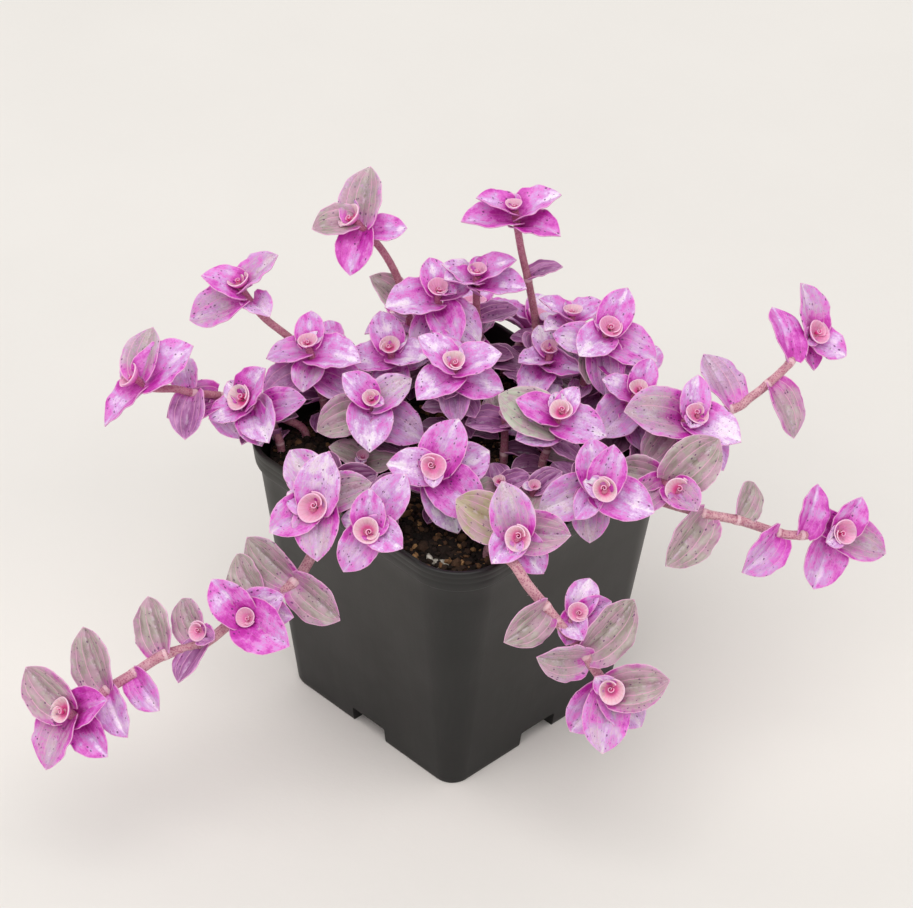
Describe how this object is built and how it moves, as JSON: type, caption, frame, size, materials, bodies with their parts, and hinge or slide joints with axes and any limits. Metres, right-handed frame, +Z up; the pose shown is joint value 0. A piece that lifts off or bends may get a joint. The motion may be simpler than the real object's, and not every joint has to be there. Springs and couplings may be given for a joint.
{
  "type": "potted turtle vine",
  "caption": "Small pink trailing house plant in a square plastic nursery pot, its leafy shoots standing over the soil and hanging over the rim.",
  "frame": {"origin": "centre of the pot's underside, on the surface that it stands on", "axes": "+Z up; X and Y along the pot's sides, its near corner in the picture at +X -Y"},
  "size_m": [0.1265, 0.1766, 0.1159],
  "materials": {
    "pot_plastic": "satin dark grey moulded plastic",
    "soil": "damp dark brown potting mix with paler grains",
    "leaf_pink": "soft matt pink and lilac leaves with purple flecks",
    "leaf_dusky": "soft matt grey green and pink leaves with purple flecks"
  },
  "bodies": {
    "root": {"pot": "pot_plastic", "soil": "soil", "shoot_tall_left": "leaf_pink", "shoot_tall_right": "leaf_pink", "shoot_far_left": "leaf_pink", "shoot_left_rim": "leaf_pink", "shoot_left": "leaf_pink", "shoot_mid_left": "leaf_pink", "shoot_mid_back": "leaf_pink", "shoot_back": "leaf_pink", "shoot_back_stack": "leaf_pink", "shoot_centre": "leaf_pink", "shoot_rim_front_left": "leaf_pink", "shoot_low_front_left": "leaf_pink", "shoot_front": "leaf_pink", "shoot_back_right": "leaf_pink", "shoot_back_mid": "leaf_pink", "shoot_mid_right": "leaf_pink", "shoot_inner_right": "leaf_pink", "shoot_right": "leaf_pink", "shoot_right_rim": "leaf_pink", "shoot_rim_front_right": "leaf_pink", "shoot_front_right": "leaf_pink", "shoot_rim_front": "leaf_pink", "shoot_low_left": "leaf_pink", "shoot_low_right": "leaf_pink", "shoot_low_front": "leaf_pink", "shoot_low_mid": "leaf_pink", "shoot_low_inner": "leaf_pink", "shoot_low_back": "leaf_pink", "shoot_low_back_left": "leaf_pink", "shoot_low_back_right": "leaf_pink", "shoot_low_side": "leaf_pink", "shoot_low_corner": "leaf_pink", "trail_front_left": "leaf_dusky", "trail_front": "leaf_dusky", "trail_front_right": "leaf_dusky", "trail_right": "leaf_dusky", "trail_left": "leaf_dusky"}
  },
  "joints": []
}
